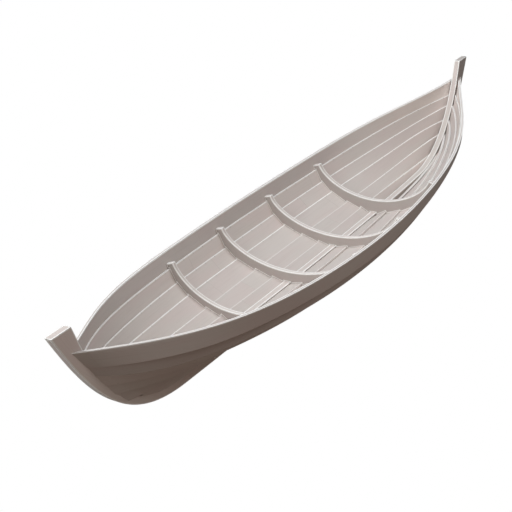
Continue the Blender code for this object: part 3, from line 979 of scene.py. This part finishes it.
def dome_faces(count):
    """The faces of so many domes: a floor, a band of quads and a cap of triangles each."""
    j = np.arange(RIVET_SIDES)
    k = (j + 1) % RIVET_SIDES
    band = np.stack([j, k, k + RIVET_SIDES, j + RIVET_SIDES], axis=1)
    top = np.full(RIVET_SIDES, 2 * RIVET_SIDES)
    cap = np.stack([j + RIVET_SIDES, k + RIVET_SIDES, top], axis=1)
    floor = j[::-1][None]
    size = 2 * RIVET_SIDES + 1
    faces = []
    for part in (band, cap, floor):
        every = np.arange(count)[:, None, None] * size + part
        faces += every.reshape(-1, part.shape[1]).tolist()
    return faces


def along_line(line, spacing, margin):
    """Even places along a line, as its point numbers and shares, short of each end."""
    way = np.concatenate([[0.0], np.cumsum(np.linalg.norm(np.diff(line, axis=0), axis=1))])
    count = int((way[-1] - 2 * margin) / spacing)
    at = np.linspace(margin, way[-1] - margin, count + 1)
    return np.interp(at, way, np.arange(len(way)))


def at_share(line, places):
    """The points of a line at places that are its point numbers and shares between them."""
    index = np.arange(len(line))
    return np.stack([np.interp(places, index, line[:, i]) for i in range(3)], axis=1)


def fastening_rows(strakes):
    """Places, directions and normals of the port side's fastenings: roves inside along each lap,
    clear of the frames, and heads outside along each lap."""
    inside = []
    outside = []
    for lower, upper in zip(strakes, strakes[1:]):
        places = along_line(lower[2], RIVET_SPACING, RIVET_END_MARGIN)
        top, lap = at_share(lower[2], places), at_share(lower[1], places)
        foot, land = at_share(upper[5], places), at_share(upper[4], places)
        ahead = at_share(lower[2], np.minimum(places + NEARBY, len(lower[2]) - 1))
        tangent = unit(ahead - at_share(lower[2], np.maximum(places - NEARBY, 0)))
        inner_up = unit(top - lap)
        outer_up = unit(land - foot)
        inner_normal = unit(np.cross(inner_up, tangent))
        outer_normal = unit(np.cross(tangent, outer_up))
        frame_x = np.array([place for _, place, _ in FRAMES]) * FRAME_SPACING
        clear = np.abs(top[:, :1] - frame_x).min(axis=1) > FRAME_CLEARANCE
        inside.append(np.stack([top - inner_up * LAP / 2, tangent, inner_normal])[:, clear])
        outside.append(np.stack([foot + outer_up * LAP / 2, tangent, outer_normal]))
    return np.concatenate(inside, axis=1), np.concatenate(outside, axis=1)


def fastening_pieces(strakes, material):
    """Roves and rivet heads, one joined piece of each for each side of the boat."""
    inside, outside = fastening_rows(strakes)
    for side_name, side in SIDES:
        mirror = np.array((1.0, side, 1.0))
        for name, rows, radius, height in (
            ("roves", inside, ROVE_RADIUS, ROVE_HEIGHT),
            ("rivet_heads", outside, HEAD_RADIUS, HEAD_HEIGHT),
        ):
            centres, tangents, normals = rows
            domes = dome_points(centres, tangents, normals, radius, height)
            points = fore_shape(domes.reshape(-1, 3) * mirror)
            new_piece(
                f"{name}_{side_name}",
                points,
                dome_faces(len(centres)),
                material,
                (),
                {"edge_distance": HIDDEN_DISTANCE},
            )


# The camera: where it looks from, and where the keel's underside amidships shows from it
CAMERA_AZIMUTH_DEG = -55.007
CAMERA_ELEVATION_DEG = 25.437
CAMERA_ROLL_DEG = -4.694
CAMERA_RIGHT = 0.5015
CAMERA_DOWN = 0.1961
CAMERA_AHEAD = 9.481
LENS_MM = 75.42
SENSOR_MM = 36.0


def add_camera():
    """A camera whose axes are the view's right, up and back, turned by the roll."""
    azimuth = math.radians(CAMERA_AZIMUTH_DEG)
    elevation = math.radians(CAMERA_ELEVATION_DEG)
    roll = math.radians(CAMERA_ROLL_DEG)
    back = np.array((
        math.sin(azimuth) * math.cos(elevation),
        -math.cos(azimuth) * math.cos(elevation),
        math.sin(elevation),
    ))
    level_right = unit(np.cross(-back, (0.0, 0.0, 1.0)))
    level_down = np.cross(-back, level_right)
    right = math.cos(roll) * level_right - math.sin(roll) * level_down
    down = math.sin(roll) * level_right + math.cos(roll) * level_down
    place = -(CAMERA_RIGHT * right + CAMERA_DOWN * down - CAMERA_AHEAD * back)
    place[2] -= DRAUGHT
    lens = bpy.data.cameras.new("camera")
    lens.lens = LENS_MM
    lens.sensor_width = SENSOR_MM
    camera = bpy.data.objects.new("camera", lens)
    turned = np.stack([right, -down, back], axis=1)
    camera.matrix_world = Matrix.Translation(place) @ Matrix(turned.tolist()).to_4x4()
    bpy.context.scene.collection.objects.link(camera)
    bpy.context.scene.camera = camera


def add_world():
    """White behind the boat, and no light from it on the boat."""
    world = bpy.data.worlds.new("studio")
    bpy.context.scene.world = world
    world.use_nodes = True
    tree = world.node_tree
    tree.nodes.clear()
    dark = tree.nodes.new("ShaderNodeBackground")
    dark.inputs["Color"].default_value = (0.0, 0.0, 0.0, 1.0)
    white = tree.nodes.new("ShaderNodeBackground")
    white.inputs["Color"].default_value = (1.0, 1.0, 1.0, 1.0)
    path = tree.nodes.new("ShaderNodeLightPath")
    either = tree.nodes.new("ShaderNodeMixShader")
    tree.links.new(path.outputs["Is Camera Ray"], either.inputs[0])
    tree.links.new(dark.outputs[0], either.inputs[1])
    tree.links.new(white.outputs[0], either.inputs[2])
    output = tree.nodes.new("ShaderNodeOutputWorld")
    tree.links.new(either.outputs[0], output.inputs["Surface"])
    bpy.context.scene.view_settings.view_transform = "Standard"


# Broad round lamps, all aimed at the boat. Azimuth is from the bow toward port.
LAMP_DISTANCE = 9.0
LAMP_WIDTH = 5.0
# A direction that no lamp lies along, from which each lamp's own sides are found
LAMP_SIDE_FROM = (0.0, 1.0, 0.1)
#    name              azimuth elevation power colour
LAMPS = (
    ("overhead", 0.0, 80.0, 284.0, (0.86, 0.94, 1.0)),
    ("port_quarter", 135.0, 50.0, 447.0, (0.93, 0.98, 1.0)),
    ("starboard_beam", 270.0, 50.0, 257.0, (0.99, 0.95, 0.92)),
    ("port_quarter_low", 135.0, 20.0, 200.0, (0.96, 0.99, 1.0)),
    ("astern_low", 180.0, 20.0, 93.0, (1.0, 0.95, 0.88)),
    ("ahead_below", 0.0, -15.0, 40.0, (1.0, 1.0, 1.0)),
    ("port_beam_below", 120.0, -15.0, 349.0, (0.98, 1.0, 1.0)),
    ("starboard_quarter_below", 240.0, -15.0, 46.0, (1.0, 0.69, 0.54)),
    ("starboard_below", 270.0, -55.0, 104.0, (1.0, 0.87, 0.76)),
)


def add_lamps():
    """Each lamp stands at the lamps' distance along its azimuth and elevation, facing the boat."""
    for name, azimuth_deg, elevation_deg, power, colour in LAMPS:
        lamp = bpy.data.lights.new(name, "AREA")
        lamp.shape = "DISK"
        lamp.size = LAMP_WIDTH
        lamp.energy = power
        lamp.color = colour
        light = bpy.data.objects.new(name, lamp)
        azimuth = math.radians(azimuth_deg)
        elevation = math.radians(elevation_deg)
        back = np.array((
            math.cos(elevation) * math.cos(azimuth),
            math.cos(elevation) * math.sin(azimuth),
            math.sin(elevation),
        ))
        side = unit(np.cross(LAMP_SIDE_FROM, back))
        turned = np.stack([side, np.cross(back, side), back], axis=1)
        place = Matrix.Translation(LAMP_DISTANCE * back)
        light.matrix_world = place @ Matrix(turned.tolist()).to_4x4()
        bpy.context.scene.collection.objects.link(light)


FLOOR_HALF = 8.0


def add_floor():
    """A plain pale floor at the waterline. It isn't seen and takes no part in the light, so that
    the whole hull shows on white."""
    corners = ((-1, -1), (1, -1), (1, 1), (-1, 1))
    mesh = bpy.data.meshes.new("floor")
    points = [(x * FLOOR_HALF, y * FLOOR_HALF, 0.0) for x, y in corners]
    mesh.from_pydata(points, [], [(0, 1, 2, 3)])
    finish = Finish("pale_floor")
    finish.shader.inputs["Base Color"].default_value = (0.9, 0.9, 0.9, 1.0)
    mesh.materials.append(finish.material)
    floor = bpy.data.objects.new("floor", mesh)
    floor.visible_camera = False
    floor.visible_diffuse = False
    floor.visible_glossy = False
    floor.visible_transmission = False
    floor.visible_shadow = False
    bpy.context.scene.collection.objects.link(floor)


add_camera()
add_world()
add_lamps()
add_floor()

strakes = strake_corners()
strake_pieces(strakes, plank_finish())
frame_pieces(strakes, frame_finish())
backbone_pieces(backbone_finish())
fastening_pieces(strakes, rivet_finish())
